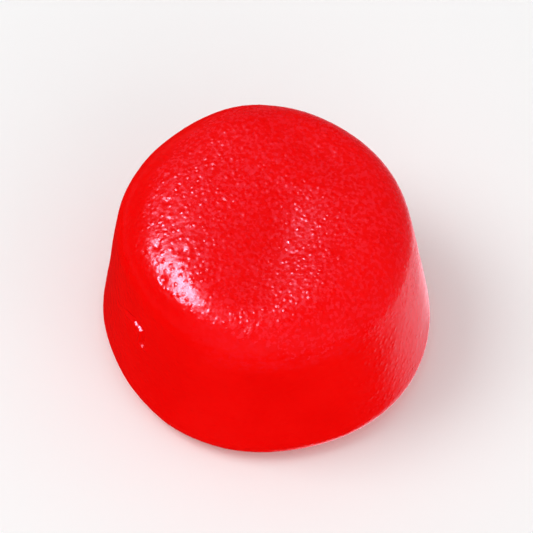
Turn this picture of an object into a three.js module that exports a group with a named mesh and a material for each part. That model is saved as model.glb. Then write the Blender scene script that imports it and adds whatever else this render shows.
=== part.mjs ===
// A soft fruit candy, cast in a powder mould as one solid piece. It is a short
// cone that stands on its wide, flat base. The straight sides taper in to a big
// rounded shoulder, and the narrow top slopes and has sunk in soft dents as it
// set. Nothing on it is quite round, because it was cast and handled soft.
//
// Units are millimetres, +Z is up. The origin is in the middle of the flat base.

import * as THREE from 'three';

// Sizes of the cone

const BASE_DIAMETER = 18.5;
const HEIGHT = 11.5;
const SIDE_TAPER_DEGREES = 7.2;
const RIM_RADIUS = 1.4;
const SHOULDER_RADIUS = 2.8;

// How uneven it is. Each swell is a wave around the outline, as a share of the
// radius, and the top leans and slopes by a little.

const TOP_LEAN = { across: -0.16, back: 0.1 };
const TOP_SLOPE = { rise: 1.38, facingDegrees: 121 };
const SWELLS = [
  { lobes: 2, share: 0.011, facingDegrees: -27 },
  { lobes: 3, share: 0.005, facingDegrees: -11 },
  { lobes: 4, share: 0.004, facingDegrees: -14 },
  { lobes: 5, share: 0.006, facingDegrees: 29 },
];

// The soft oval dents in the top: a fold from the middle to the front, the left
// edge, the front, the left part of the back, and the right part of the back.

const DENTS = [
  { x: 0.46, y: -2.22, wide: 1.71, long: 4.09, turnDegrees: -21, deep: 0.46 },
  { x: -6.76, y: -0.19, wide: 2.0, long: 4.65, turnDegrees: 14, deep: 0.53 },
  { x: -1.31, y: -5.08, wide: 1.48, long: 5.0, turnDegrees: 76, deep: 0.17 },
  { x: -5.0, y: 4.9, wide: 2.14, long: 5.0, turnDegrees: -23, deep: 0.62 },
  { x: 2.79, y: 4.76, wide: 1.51, long: 4.1, turnDegrees: 51, deep: 0.42 },
];

// How finely the faces follow the curves

const SECTORS = 72;
const RIM_STEPS = 5;
const SIDE_STEPS = 4;
const SHOULDER_STEPS = 9;
const TOP_STEPS = 9;

const taper = THREE.MathUtils.degToRad(SIDE_TAPER_DEGREES);
const baseRadius = BASE_DIAMETER / 2;

// Radius of the sharp-edged cone at a height, before its edges are rounded.
function coneRadius(height) {
  return baseRadius - height * Math.tan(taper);
}

// Points on a rounded edge, from one slope to the next.
function edgeArc(centre, radius, fromAngle, toAngle, steps) {
  const points = [];
  for (let step = 0; step <= steps; step += 1) {
    const angle = THREE.MathUtils.lerp(fromAngle, toAngle, step / steps);
    const reach = centre.x + radius * Math.cos(angle);
    const level = centre.y + radius * Math.sin(angle);
    points.push(new THREE.Vector2(reach, level));
  }
  return points;
}

// Points between two others, without the two ends.
function between(start, end, steps) {
  const points = [];
  for (let step = 1; step < steps; step += 1) {
    points.push(start.clone().lerp(end, step / steps));
  }
  return points;
}

// Half of the upright section, from the middle of the base out over the rim, up
// the side, over the shoulder and in to the middle of the top.
function section() {
  const rimCentre = new THREE.Vector2(
    coneRadius(RIM_RADIUS) - RIM_RADIUS / Math.cos(taper),
    RIM_RADIUS,
  );
  const shoulderLevel = HEIGHT - SHOULDER_RADIUS;
  const shoulderCentre = new THREE.Vector2(
    coneRadius(shoulderLevel) - SHOULDER_RADIUS / Math.cos(taper),
    shoulderLevel,
  );
  const rim = edgeArc(rimCentre, RIM_RADIUS, -Math.PI / 2, taper, RIM_STEPS);
  const shoulder = edgeArc(
    shoulderCentre,
    SHOULDER_RADIUS,
    taper,
    Math.PI / 2,
    SHOULDER_STEPS,
  );
  const side = between(rim[rim.length - 1], shoulder[0], SIDE_STEPS);
  const baseMiddle = new THREE.Vector2(0, 0);
  const topMiddle = new THREE.Vector2(0, HEIGHT);
  const top = between(shoulder[shoulder.length - 1], topMiddle, TOP_STEPS);
  return [baseMiddle, ...rim, ...side, ...shoulder, ...top, topMiddle];
}

// How far the outline stands out or in, as a share of the radius, in a direction.
function swell(direction) {
  let share = 0;
  for (const wave of SWELLS) {
    const facing = THREE.MathUtils.degToRad(wave.facingDegrees);
    share += wave.share * Math.cos(wave.lobes * (direction - facing));
  }
  return share;
}

// How far the dents take the top down at a place.
function dentDepth(x, y) {
  let depth = 0;
  for (const dent of DENTS) {
    const turn = THREE.MathUtils.degToRad(dent.turnDegrees);
    const right = x - dent.x;
    const back = y - dent.y;
    const across = (right * Math.cos(turn) + back * Math.sin(turn)) / dent.wide;
    const along = (back * Math.cos(turn) - right * Math.sin(turn)) / dent.long;
    depth += dent.deep * Math.exp(-(across ** 2) - along ** 2);
  }
  return depth;
}

// Moves one point of the true cone to where the uneven candy has it. The base
// stays flat, and the lean, the slope and the dents grow with the height.
function makeUneven(point) {
  const direction = Math.atan2(point.y, point.x);
  const rise = point.z / HEIGHT;
  const stretch = 1 + swell(direction);
  const slopeFacing = THREE.MathUtils.degToRad(TOP_SLOPE.facingDegrees);
  const alongSlope = point.x * Math.cos(slopeFacing) + point.y * Math.sin(slopeFacing);
  const lift = (TOP_SLOPE.rise * alongSlope) / BASE_DIAMETER;
  point.z += (lift - dentDepth(point.x, point.y)) * rise ** 2;
  point.x = point.x * stretch + TOP_LEAN.across * rise;
  point.y = point.y * stretch + TOP_LEAN.back * rise;
}

// Slides the candy sideways until its widest outline is centred on the origin.
function centreOverOrigin(geometry) {
  geometry.computeBoundingBox();
  const middle = geometry.boundingBox.getCenter(new THREE.Vector3());
  geometry.translate(-middle.x, -middle.y, 0);
}

function candyGeometry() {
  const geometry = new THREE.LatheGeometry(section(), SECTORS);
  geometry.rotateX(Math.PI / 2);
  const positions = geometry.getAttribute('position');
  const point = new THREE.Vector3();
  for (let index = 0; index < positions.count; index += 1) {
    point.fromBufferAttribute(positions, index);
    makeUneven(point);
    positions.setXYZ(index, point.x, point.y, point.z);
  }
  centreOverOrigin(geometry);
  geometry.computeVertexNormals();
  return geometry;
}

// Clear red candy, soft and glossy.
const redCandy = new THREE.MeshStandardMaterial({
  color: new THREE.Color(0xe30d14),
  roughness: 0.3,
  metalness: 0,
});

const candy = new THREE.Mesh(candyGeometry(), redCandy);
candy.name = 'candy';

const chewyCandy = new THREE.Group();
chewyCandy.add(candy);

export default chewyCandy;
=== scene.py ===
import math
import random

import bmesh
import bpy
import numpy as np
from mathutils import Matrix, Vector, noise


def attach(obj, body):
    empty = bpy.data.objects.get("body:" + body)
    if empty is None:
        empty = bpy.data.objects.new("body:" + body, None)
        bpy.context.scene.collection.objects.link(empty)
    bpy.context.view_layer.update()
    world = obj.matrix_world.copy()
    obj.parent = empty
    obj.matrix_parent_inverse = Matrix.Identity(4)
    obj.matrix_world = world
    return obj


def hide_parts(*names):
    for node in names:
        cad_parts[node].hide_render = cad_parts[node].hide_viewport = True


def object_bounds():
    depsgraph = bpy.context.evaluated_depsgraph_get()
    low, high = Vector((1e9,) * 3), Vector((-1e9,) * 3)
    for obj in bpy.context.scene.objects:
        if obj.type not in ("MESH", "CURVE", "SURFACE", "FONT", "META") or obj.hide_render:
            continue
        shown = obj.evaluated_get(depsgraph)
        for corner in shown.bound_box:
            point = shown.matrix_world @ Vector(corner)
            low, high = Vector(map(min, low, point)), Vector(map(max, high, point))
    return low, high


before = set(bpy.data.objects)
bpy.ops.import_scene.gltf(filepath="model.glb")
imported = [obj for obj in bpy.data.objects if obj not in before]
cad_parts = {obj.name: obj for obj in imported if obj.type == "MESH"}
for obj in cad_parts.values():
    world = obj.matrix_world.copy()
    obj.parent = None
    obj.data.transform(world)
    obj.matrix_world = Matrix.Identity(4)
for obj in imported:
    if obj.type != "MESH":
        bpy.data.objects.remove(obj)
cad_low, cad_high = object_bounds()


# The candy's body. One soft piece of clear red jelly, cast upside down in a
# mould of powder. It is worked from a thick disc: the top is drawn in to a cone,
# both edges are rounded, and the wall and the ends are cut into small faces.

MM = 0.001

BASE_DIAMETER = 18.5 * MM
HEIGHT = 11.5 * MM
SIDE_TAPER = math.radians(7.2)
RIM_RADIUS = 1.4 * MM
SHOULDER_RADIUS = 2.8 * MM

SECTORS = 512
RIM_STEPS = 12
SIDE_CUTS = 45
SHOULDER_STEPS = 50
CLOSE = 0.001 * MM
SELECT_MODES = {"edges": "EDGE", "faces": "FACE"}

base_radius = BASE_DIAMETER / 2
top_radius = base_radius - HEIGHT * math.tan(SIDE_TAPER)
shoulder_setback = SHOULDER_RADIUS * math.tan((math.pi / 2 - SIDE_TAPER) / 2)
rim_setback = RIM_RADIUS * math.tan((math.pi / 2 + SIDE_TAPER) / 2)


def pick(piece, kind, wanted):
    """Selects the edges or the faces of a piece for which wanted says yes."""
    mesh = bmesh.from_edit_mesh(piece.data)
    bpy.ops.mesh.select_mode(type=SELECT_MODES[kind])
    bpy.ops.mesh.select_all(action="DESELECT")
    for element in getattr(mesh, kind):
        element.select = wanted(element)
    mesh.select_flush_mode()
    bmesh.update_edit_mesh(piece.data)


def at_level(element, level):
    return all(abs(vertex.co.z - level) < CLOSE for vertex in element.verts)


def stands_up(edge):
    start, end = (vertex.co.z for vertex in edge.verts)
    return abs(start - end) > HEIGHT / 3


def fill_evenly(piece, level):
    """Swaps a flat round face for a grid of small ones."""
    pick(piece, "faces", lambda face: len(face.verts) == SECTORS and at_level(face, level))
    bpy.ops.mesh.delete(type="ONLY_FACE")
    pick(piece, "edges", lambda edge: at_level(edge, level))
    bpy.ops.mesh.fill_grid(span=SECTORS // 4, use_interp_simple=True)


bpy.ops.object.select_all(action="DESELECT")
bpy.ops.mesh.primitive_cylinder_add(
    vertices=SECTORS,
    radius=base_radius,
    depth=HEIGHT,
    location=(0, 0, HEIGHT / 2),
)
candy = bpy.context.active_object
candy.name = "chewy_candy"
bpy.ops.object.transform_apply(location=True)
bpy.ops.object.mode_set(mode="EDIT")

pick(candy, "faces", lambda face: at_level(face, HEIGHT))
drawn_in = top_radius / base_radius
bpy.ops.transform.resize(value=(drawn_in, drawn_in, 1))
pick(candy, "edges", lambda edge: at_level(edge, HEIGHT))
bpy.ops.mesh.bevel(offset=shoulder_setback, segments=SHOULDER_STEPS)
pick(candy, "edges", lambda edge: at_level(edge, 0))
bpy.ops.mesh.bevel(offset=rim_setback, segments=RIM_STEPS)
pick(candy, "edges", stands_up)
bpy.ops.mesh.subdivide(number_cuts=SIDE_CUTS)
fill_evenly(candy, HEIGHT)
fill_evenly(candy, 0)

bpy.ops.mesh.select_all(action="SELECT")
bpy.ops.mesh.normals_make_consistent(inside=False)
bpy.ops.object.mode_set(mode="OBJECT")


# How uneven it is. Soft candies come out of the powder a little out of round,
# with the top leaning and sloping. This top has also sunk while it set: a soft
# fold runs from its middle to the front, and its left and back edges have slumped.

TOP_LEAN = Vector((-0.16, 0.1)) * MM
TOP_SLOPE_RISE = 1.38 * MM
TOP_SLOPE_FACING = math.radians(121)
SWELLS = (
    {"lobes": 2, "share": 0.011, "facing": math.radians(-27)},
    {"lobes": 3, "share": 0.005, "facing": math.radians(-11)},
    {"lobes": 4, "share": 0.004, "facing": math.radians(-14)},
    {"lobes": 5, "share": 0.006, "facing": math.radians(29)},
)

# Soft oval hollows in the top: the fold, the left edge, the front, the left part
# of the back, and the right part of the back.
DENTS = (
    {"x": 0.46 * MM, "y": -2.22 * MM, "turn": math.radians(-21),
     "wide": 1.71 * MM, "long": 4.09 * MM, "deep": 0.46 * MM},
    {"x": -6.76 * MM, "y": -0.19 * MM, "turn": math.radians(14),
     "wide": 2.0 * MM, "long": 4.65 * MM, "deep": 0.53 * MM},
    {"x": -1.31 * MM, "y": -5.08 * MM, "turn": math.radians(76),
     "wide": 1.48 * MM, "long": 5.0 * MM, "deep": 0.17 * MM},
    {"x": -5.0 * MM, "y": 4.9 * MM, "turn": math.radians(-23),
     "wide": 2.14 * MM, "long": 5.0 * MM, "deep": 0.62 * MM},
    {"x": 2.79 * MM, "y": 4.76 * MM, "turn": math.radians(51),
     "wide": 1.51 * MM, "long": 4.1 * MM, "deep": 0.42 * MM},
)


def points_of(piece):
    flat = np.empty(3 * len(piece.data.vertices), np.float32)
    piece.data.vertices.foreach_get("co", flat)
    return flat.reshape(-1, 3).astype(float)


def put_points(piece, points):
    piece.data.vertices.foreach_set("co", points.astype(np.float32).ravel())
    piece.data.update()


def normals_of(piece):
    flat = np.empty(3 * len(piece.data.vertices), np.float32)
    piece.data.vertices.foreach_get("normal", flat)
    return flat.reshape(-1, 3).astype(float)


def ease(value, start, end):
    """Runs smoothly from 0 at start to 1 at end."""
    share = np.clip((value - start) / (end - start), 0, 1)
    return share * share * (3 - 2 * share)


def dent_depth(x, y):
    """How far the top has sunk at a place."""
    depth = 0
    for dent in DENTS:
        right = x - dent["x"]
        back = y - dent["y"]
        turn_cos = math.cos(dent["turn"])
        turn_sin = math.sin(dent["turn"])
        across = (right * turn_cos + back * turn_sin) / dent["wide"]
        along = (back * turn_cos - right * turn_sin) / dent["long"]
        depth = depth + dent["deep"] * np.exp(-(across**2) - along**2)
    return depth


def make_uneven(piece):
    """Moves each point of the true cone to where the uneven candy has it."""
    points = points_of(piece)
    x, y, z = points.T
    direction = np.arctan2(y, x)
    rise = z / HEIGHT
    stretch = 1 + sum(
        wave["share"] * np.cos(wave["lobes"] * (direction - wave["facing"])) for wave in SWELLS
    )
    along_slope = x * math.cos(TOP_SLOPE_FACING) + y * math.sin(TOP_SLOPE_FACING)
    lift = TOP_SLOPE_RISE * along_slope / BASE_DIAMETER
    moved = np.column_stack([
        x * stretch + TOP_LEAN.x * rise,
        y * stretch + TOP_LEAN.y * rise,
        z + (lift - dent_depth(x, y)) * rise**2,
    ])
    middle = (moved.min(axis=0) + moved.max(axis=0)) / 2
    moved[:, :2] -= middle[:2]
    put_points(piece, moved)


make_uneven(candy)


# The nick. The skin was torn on the left of the wall when the candy came out of
# its mould, and left a hooked furrow with a raised lip along it.

# The places that the furrow runs through, and how deep it is at each.
NICK = (
    {"place": Vector((-8.33, -2.08, 5.55)) * MM, "deep": 0.0},
    {"place": Vector((-7.83, -3.1, 6.45)) * MM, "deep": 0.02 * MM},
    {"place": Vector((-7.22, -4.13, 7.0)) * MM, "deep": 0.13 * MM},
    {"place": Vector((-6.75, -4.86, 6.92)) * MM, "deep": 0.145 * MM},
    {"place": Vector((-6.8, -4.92, 6.4)) * MM, "deep": 0.1 * MM},
    {"place": Vector((-6.87, -4.92, 5.86)) * MM, "deep": 0.115 * MM},
    {"place": Vector((-6.77, -5.07, 5.84)) * MM, "deep": 0.115 * MM},
)
NICK_WIDTH = 0.11 * MM
NICK_SURROUNDINGS = 0.9 * MM
NICK_CUTS = 3

# How high the lip is beside the furrow's depth, and how many widths away it is.
LIP_SHARE = 0.9
LIP_WIDTHS_AWAY = 2


def beside_nick(face):
    middle = face.calc_center_median()
    return any((middle - stop["place"]).length < NICK_SURROUNDINGS for stop in NICK)


def press_nick(piece):
    """Presses each stretch of the furrow in, and pushes its lip out."""
    points = points_of(piece)
    normals = normals_of(piece)
    nearest = np.full(len(points), math.inf)
    relief = np.zeros(len(points))
    for start, end in zip(NICK, NICK[1:]):
        run = np.array(end["place"] - start["place"])
        from_start = points - np.array(start["place"])
        share = np.clip(from_start @ run / (run @ run), 0, 1)
        offset = from_start - share[:, None] * run
        away = np.linalg.norm(offset, axis=1)
        lip_way = np.cross(run, normals)
        side = away * np.sign(np.sum(offset * lip_way, axis=1)) / NICK_WIDTH
        deep = start["deep"] + share * (end["deep"] - start["deep"])
        lip = LIP_SHARE * np.exp(-((side - LIP_WIDTHS_AWAY) ** 2))
        furrow = np.exp(-(side**2))
        relief = np.where(away < nearest, deep * (lip - furrow), relief)
        nearest = np.minimum(away, nearest)
    put_points(piece, points + normals * relief[:, None])


bpy.ops.object.mode_set(mode="EDIT")
pick(candy, "faces", beside_nick)
bpy.ops.mesh.subdivide(number_cuts=NICK_CUTS)
bpy.ops.object.mode_set(mode="OBJECT")
press_nick(candy)


# The skin. The flat end of the mould leaves the top finely pebbled, and the sides
# come out nearly smooth. Grains of powder leave specks, and bubbles of air leave
# small pits.

PEBBLE_SIZE = 0.42 * MM
PEBBLE_HEIGHT = 0.004 * MM
PEBBLE_REACH = 0.75
SIDE_RIPPLE_SIZE = 2.6 * MM
SIDE_RIPPLE_HEIGHT = 0.035 * MM
GRAIN_SIZE = 0.3 * MM
GRAIN_HEIGHT = 0.006 * MM
FROSTED_MIDDLE = Vector((0.9, -0.1)) * MM
FROSTED_RADIUS = 7.45 * MM
FROSTED_EDGE = 0.5 * MM
SMOOTH_FOOT = 0.6 * MM

# Specks and pits are round, and rise or sink by a share of their radius.
SPECKS = 420
SPECK_RADIUS = (0.08 * MM, 0.13 * MM)
SPECK_RISE = 0.16
PITS = 120
PIT_RADIUS = (0.09 * MM, 0.15 * MM)
PIT_DEPTH = 0.2
BIG_PITS = np.array(((-5.5, 0.8), (-6.0, -1.9), (-4.6, -2.4), (-5.6, -3.8), (-1.1, -6.8))) * MM
BIG_PIT_RADIUS = 0.24 * MM
BIG_PIT_DEPTH = 0.35
MARK_REACH = 1.5
MARKED_ABOVE = 0.9 * HEIGHT
SEED = 7


def pebble(place):
    """Close-packed round bumps, from 0 to 1."""
    nearest = noise.voronoi(place / PEBBLE_SIZE)[0][0]
    return max(0.0, 1 - (nearest / PEBBLE_REACH) ** 2)


def skin_height(place, frosted):
    """How far the skin stands out at a place."""
    height = SIDE_RIPPLE_HEIGHT * noise.noise(place / SIDE_RIPPLE_SIZE)
    height += GRAIN_HEIGHT * noise.noise(place / GRAIN_SIZE)
    if frosted > 0:
        height += frosted * PEBBLE_HEIGHT * pebble(place)
    return height


def press_skin(piece):
    """Gives the skin its pebbles, ripples and grain, and leaves the base flat."""
    points = points_of(piece)
    normals = normals_of(piece)
    out = np.hypot(points[:, 0] - FROSTED_MIDDLE.x, points[:, 1] - FROSTED_MIDDLE.y)
    frosted = ease(out, FROSTED_RADIUS + FROSTED_EDGE, FROSTED_RADIUS - FROSTED_EDGE)
    frosted *= points[:, 2] > HEIGHT / 2
    off_the_base = ease(points[:, 2], 0, SMOOTH_FOOT)
    heights = np.array([
        skin_height(Vector(point), share) for point, share in zip(points, frosted)
    ])
    put_points(piece, points + normals * (heights * off_the_base)[:, None])


def press_marks(piece):
    """Raises small specks on the top, and sinks pits and a few bigger ones."""
    points = points_of(piece)
    normals = normals_of(piece)
    draw = random.Random(SEED)
    top = points[points[:, 2] > MARKED_ABOVE]
    marks = [(draw.choice(top), draw.uniform(*SPECK_RADIUS), SPECK_RISE) for _ in range(SPECKS)]
    marks += [(draw.choice(top), draw.uniform(*PIT_RADIUS), -PIT_DEPTH) for _ in range(PITS)]
    for x, y in BIG_PITS:
        nearest = np.hypot(top[:, 0] - x, top[:, 1] - y).argmin()
        marks.append((top[nearest], BIG_PIT_RADIUS, -BIG_PIT_DEPTH))
    relief = np.zeros(len(points))
    for middle, radius, share in marks:
        away = np.linalg.norm(points - middle, axis=1)
        relief += share * radius * ease(away, radius * MARK_REACH, 0)
    put_points(piece, points + normals * relief[:, None])


press_skin(candy)
press_marks(candy)
bpy.ops.object.shade_smooth()


# What it is made of: gelatine jelly, clear and deep red, with a shine. Light
# soaks in and spreads, so its shadows stay bright. The pebbled top is duller, and
# a mottled pinkish painted sheen is mixed into its colour, weaker on the shoulder and on the right
# side.

JELLY_RED = (0.91, 0.003, 0.002, 1)
DEEP_RED = (0.87, 0.002, 0.001, 1)
# The pinkish red is painted sheen. It stands in for the pale haze that is mirrored on the top, the
# shoulder and the right side.
PAINTED_SHEEN_RED = (0.91, 0.013, 0.024, 1)
CLOUDY_SIZE = 4 * MM
MOTTLE_SIZE = 0.24 * MM
SHOULDER_SHEEN = 0.7
RIGHT_SIDE_SHEEN = 0.3

# The frosting ends in a ragged line round the top.
RAGGED_BY = 1.0 * MM
RAGGED_SIZE = 1.2 * MM

# Each of these fades in from its first value to its second.
FROST_INWARDS = (FROSTED_RADIUS + 0.3 * MM, FROSTED_RADIUS - 0.1 * MM)
FROST_UPWARDS = (5 * MM, 6 * MM)
SHOULDER_UPWARDS = (7.8 * MM, 8.4 * MM)
SHOULDER_RIGHTWARDS = (-5 * MM, -1 * MM)
RIGHT_SIDE = (4 * MM, 7 * MM)
CLOUDY_FROM = (0.35, 0.7)
MOTTLE_FROM = (0.35, 0.8)

# The relief that is too fine for the mesh, and how strong each kind is where
# another kind leads.
RELIEF_HEIGHT = 0.026 * MM
SPECK_SPACING = 0.36 * MM
FINE_GRAIN_SIZE = 0.16 * MM
FINE_RIPPLE_SIZE = 0.4 * MM
SPECKS_ON_SIDES = 0.5
GRAIN_ON_TOP = 0.4
RIPPLES_ON_TOP = 0.4

SIDE_ROUGHNESS = 0.15
MOTTLED_ROUGHNESS = 0.06
FROST_ROUGHNESS = 0.05
FROSTED_MOTTLED_ROUGHNESS = 0.14


class Amount:
    """A number that may change over the surface, worked out by material nodes."""

    def __init__(self, recipe, socket):
        self.recipe = recipe
        self.socket = socket

    def _with(self, operation, first, second):
        return self.recipe.node("ShaderNodeMath", {"operation": operation}, {0: first, 1: second})

    def __add__(self, other):
        return self._with("ADD", self, other)

    def __mul__(self, other):
        return self._with("MULTIPLY", self, other)

    def __sub__(self, other):
        return self._with("SUBTRACT", self, other)

    def __rsub__(self, other):
        return self._with("SUBTRACT", other, self)

    __radd__ = __add__
    __rmul__ = __mul__


class Recipe:
    """Nodes for one material or for the light all round, put together as they are asked for."""

    def __init__(self, owner):
        owner.use_nodes = True
        self.nodes = owner.node_tree.nodes
        self.links = owner.node_tree.links
        self.nodes.clear()

    def node(self, kind, settings, inputs, output=0):
        """Adds a node, sets it up and connects it, and hands on one of its outputs."""
        made = self.nodes.new(kind)
        for name, value in settings.items():
            setattr(made, name, value)
        for name, value in inputs.items():
            if isinstance(value, Amount):
                self.links.new(value.socket, made.inputs[name])
            else:
                made.inputs[name].default_value = value
        return Amount(self, made.outputs[output]) if made.outputs else None

    def along(self, axis, place):
        """How far a place or a direction is along one axis."""
        return self.node("ShaderNodeSeparateXYZ", {}, {"Vector": place}, axis)

    def clouds(self, place, size, detail=2.0):
        """Soft blotches about that size, mostly between 0.3 and 0.7."""
        inputs = {"Vector": place, "Scale": 1 / size, "Detail": detail}
        return self.node("ShaderNodeTexNoise", {}, inputs, "Fac")

    def between(self, value, start, end):
        """0 at start and 1 at end, eased."""
        settings = {"interpolation_type": "SMOOTHSTEP"}
        inputs = {"Value": value, "From Min": start, "From Max": end}
        return self.node("ShaderNodeMapRange", settings, inputs)

    def mixed(self, share, first, second):
        """The first colour where the share is 0, and the second where it is 1."""
        return self.node("ShaderNodeMix", {"data_type": "RGBA"}, {0: share, 6: first, 7: second}, 2)

    def dots(self, place, spacing):
        """Scattered round dots: 1 in the middle of each and 0 between them."""
        inputs = {"Vector": place, "Scale": 1 / spacing}
        away = self.node("ShaderNodeTexVoronoi", {"feature": "F1"}, inputs, "Distance")
        return self.between(away, 0.5, 0.0)


def frosting(recipe, place):
    """1 on the frosted top and 0 beyond its ragged edge."""
    seen_from_above = recipe.node(
        "ShaderNodeVectorMath", {"operation": "MULTIPLY"}, {0: place, 1: (1, 1, 0)}
    )
    out = recipe.node(
        "ShaderNodeVectorMath",
        {"operation": "DISTANCE"},
        {0: seen_from_above, 1: FROSTED_MIDDLE.to_3d()},
        "Value",
    )
    ragged = out + RAGGED_BY * (recipe.clouds(place, RAGGED_SIZE) - 0.5)
    inside = recipe.between(ragged, *FROST_INWARDS)
    return inside * recipe.between(recipe.along("Z", place), *FROST_UPWARDS)


def painted_sheen_share(recipe, place, frosted):
    """How strong the painted sheen is: 1 on the frosted top, and less on the shoulder and the right
    side.
    """
    shoulder = recipe.between(recipe.along("Z", place), *SHOULDER_UPWARDS)
    shoulder = shoulder * recipe.between(recipe.along("X", place), *SHOULDER_RIGHTWARDS)
    right_side = recipe.between(recipe.along("X", place), *RIGHT_SIDE)
    thinner = SHOULDER_SHEEN * shoulder + RIGHT_SIDE_SHEEN * right_side
    return frosted + (1 - frosted) * thinner


def fine_relief(recipe, place, frosted):
    """Specks and a fine grain on the top, and ripples with fewer specks on the sides."""
    specks = recipe.dots(place, SPECK_SPACING)
    grain = recipe.clouds(place, FINE_GRAIN_SIZE, 1.0)
    ripples = recipe.clouds(place, FINE_RIPPLE_SIZE, 1.0)
    speck_share = SPECKS_ON_SIDES + (1 - SPECKS_ON_SIDES) * frosted
    ripple_share = 1 - (1 - RIPPLES_ON_TOP) * frosted
    return recipe.node("ShaderNodeBump", {}, {
        "Strength": 1.0,
        "Distance": RELIEF_HEIGHT,
        "Height": speck_share * specks + GRAIN_ON_TOP * frosted * grain + ripple_share * ripples,
    })


def jelly():
    material = bpy.data.materials.new("red_jelly")
    recipe = Recipe(material)
    place = recipe.node("ShaderNodeTexCoord", {}, {}, "Object")
    frosted = frosting(recipe, place)
    cloudy = recipe.between(recipe.clouds(place, CLOUDY_SIZE), *CLOUDY_FROM)
    mottled = recipe.between(recipe.clouds(place, MOTTLE_SIZE), *MOTTLE_FROM)
    jelly_colour = recipe.mixed(cloudy, JELLY_RED, DEEP_RED)
    # Painted sheen: the pinkish red is mixed in, mottled, where the mirrored haze lies.
    painted_sheen_mix = mottled * painted_sheen_share(recipe, place, frosted)
    frosted_roughness = FROST_ROUGHNESS + FROSTED_MOTTLED_ROUGHNESS * mottled
    shader = recipe.node("ShaderNodeBsdfPrincipled", {"subsurface_method": "RANDOM_WALK"}, {
        "Base Color": recipe.mixed(painted_sheen_mix, jelly_colour, PAINTED_SHEEN_RED),
        "Roughness": SIDE_ROUGHNESS + MOTTLED_ROUGHNESS * mottled + frosted * frosted_roughness,
        "Normal": fine_relief(recipe, place, frosted),
        "IOR": 1.47,
        "Specular Tint": (1.0, 0.7, 1.0, 1),
        "Subsurface Weight": 1.0,
        "Subsurface Radius": (1.0, 0.08, 0.06),
        "Subsurface Scale": 2.5 * MM,
    })
    recipe.node("ShaderNodeOutputMaterial", {}, {"Surface": shader})
    return material


candy.data.materials.clear()
candy.data.materials.append(jelly())
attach(candy, "root")
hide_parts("candy")


# The table that the candy stands on, plain and white.

FLOOR_SIZE = 2.4
FLOOR_WHITE = (0.95, 0.95, 0.95, 1)

bpy.ops.object.select_all(action="DESELECT")
bpy.ops.mesh.primitive_plane_add(size=FLOOR_SIZE)
floor = bpy.context.active_object
floor.name = "floor"
paint = bpy.data.materials.new("white_floor")
paint.use_nodes = True
paint_inputs = paint.node_tree.nodes["Principled BSDF"].inputs
paint_inputs["Base Color"].default_value = FLOOR_WHITE
paint_inputs["Roughness"].default_value = 0.9
paint_inputs["Specular IOR Level"].default_value = 0.1
floor.data.materials.append(paint)
floor.visible_glossy = False


# The light. One broad soft box stands high on the left, and two others fill in
# from the front and the right. The shine mirrors a pale table on the right.

KEY_FROM = Vector((-0.525, 0.02, 0.844))
KEY_DISTANCE = 0.45
FRONT_FROM = Vector((0.42, -0.81, 0.4))
RIGHT_FROM = Vector((0.85, -0.2, 0.48))
FILL_DISTANCE = 0.5


def soft_box(name, side, distance, width, power, seen_by):
    """A square soft box that faces the candy, and is seen by its body or by its shine."""
    bpy.ops.object.light_add(type="AREA", location=side * distance)
    box = bpy.context.active_object
    box.name = name
    box.data.shape = "SQUARE"
    box.data.size = width
    box.data.energy = power
    box.rotation_mode = "QUATERNION"
    box.rotation_quaternion = side.to_track_quat("Z", "Y")
    box.visible_camera = False
    box.visible_diffuse = seen_by == "body"
    box.visible_glossy = seen_by == "shine"


soft_box("key_light", KEY_FROM, KEY_DISTANCE, 0.22, 0.7, "body")
soft_box("key_shine", KEY_FROM, KEY_DISTANCE, 0.21, 3.9, "shine")
soft_box("front_fill", FRONT_FROM, FILL_DISTANCE, 0.5, 0.65, "body")
soft_box("right_fill", RIGHT_FROM, FILL_DISTANCE, 0.5, 0.22, "body")

# An even light from all round falls on everything. The shine mirrors something
# else: a dim room, and in it the things below. Each glows in the directions that
# its fades leave, and a fade is an axis with where it starts and where it is full.
EVEN_LIGHT = 0.605
WHITE = (1, 1, 1, 1)
DIM_ROOM = 0.04
PINK = (1, 0.56, 0.64, 1)
RED = (1, 0.02, 0.02, 1)
CEILING = {"glow": 0.05, "fades": (("Z", -0.75, -0.45), ("X", -0.75, -0.35))}
PALE_FRONT = {"glow": 0.15, "fades": (("Y", -0.3, -0.8), ("Z", -0.2, 0.2))}
ON_THE_RIGHT = (("X", 0.0, 0.1), ("Y", -0.25, 0.15))
PALE_TABLE = {"glow": 0.6, "fades": (("Z", -0.66, -0.73),)}
TABLE_FAR_EDGE = {"glow": 0.6, "fades": (("Z", -0.62, -0.68), ("Z", -0.78, -0.7), ("Y", 0.1, 0.35))}
TABLE_NEAR_EDGE = {"glow": 0.9, "fades": (("X", 0.35, 0.15), ("Z", -0.74, -0.82))}
HAZE_OVER_TABLE = {"glow": 0.2, "fades": (("Z", 0.0, -0.5),)}
RED_BELOW = {"glow": 0.5, "fades": (("Z", 0.1, -0.3),)}


def filled(recipe, direction, fades):
    """1 in the directions that the fades leave and 0 in the others."""
    share = 1
    for axis, start, full in fades:
        share = share * recipe.between(recipe.along(axis, direction), start, full)
    return share


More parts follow.
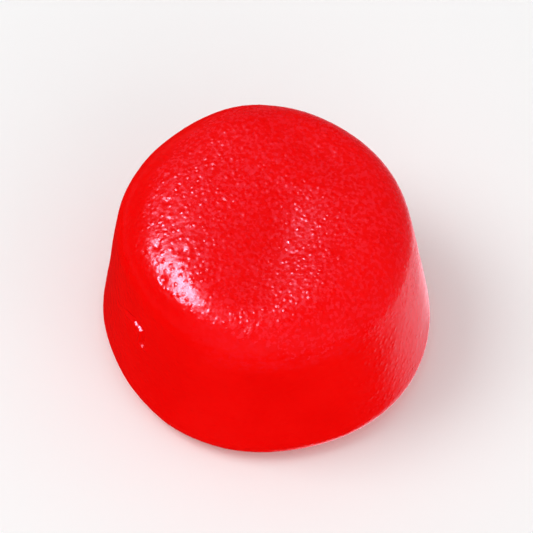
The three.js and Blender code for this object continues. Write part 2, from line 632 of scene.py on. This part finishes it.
def light_all_round():
    world = bpy.data.worlds.new("studio")
    recipe = Recipe(world)
    direction = recipe.node("ShaderNodeTexCoord", {}, {}, "Generated")
    on_the_right = filled(recipe, direction, ON_THE_RIGHT)
    mirrored = DIM_ROOM
    for thing in (CEILING, PALE_FRONT):
        mirrored = mirrored + thing["glow"] * filled(recipe, direction, thing["fades"])
    for thing in (PALE_TABLE, TABLE_FAR_EDGE, TABLE_NEAR_EDGE, HAZE_OVER_TABLE):
        share = on_the_right * filled(recipe, direction, thing["fades"])
        mirrored = mirrored + thing["glow"] * share
    red_below = (1 - on_the_right) * filled(recipe, direction, RED_BELOW["fades"])
    mirrored = mirrored + RED_BELOW["glow"] * red_below
    tint = recipe.mixed(red_below, PINK, RED)
    shiny = recipe.node("ShaderNodeLightPath", {}, {}, "Is Glossy Ray")
    strength = shiny * mirrored + (1 - shiny) * EVEN_LIGHT
    colour = recipe.mixed(shiny, WHITE, tint)
    glow = recipe.node("ShaderNodeBackground", {}, {"Strength": strength, "Color": colour})
    recipe.node("ShaderNodeOutputWorld", {}, {"Surface": glow})
    world.cycles.sampling_method = "NONE"
    return world


bpy.context.scene.world = light_all_round()
bpy.context.scene.view_settings.view_transform = "Standard"


# The camera looks down on the candy from the front through a long lens.

CAMERA_ELEVATION = math.radians(58)
CAMERA_DISTANCE = 0.33
FRAME_WIDTH = 29.5 * MM
SENSOR = 36

middle = (cad_low + cad_high) / 2
back = Vector((0, -math.cos(CAMERA_ELEVATION), math.sin(CAMERA_ELEVATION)))
camera_data = bpy.data.cameras.new("camera")
camera_data.sensor_width = SENSOR
camera_data.lens = SENSOR * CAMERA_DISTANCE / FRAME_WIDTH
camera_data.clip_start = 0.01
camera_data.clip_end = 10
camera = bpy.data.objects.new("camera", camera_data)
camera.location = middle + back * CAMERA_DISTANCE
camera.rotation_mode = "QUATERNION"
camera.rotation_quaternion = back.to_track_quat("Z", "Y")
bpy.context.scene.collection.objects.link(camera)
bpy.context.scene.camera = camera
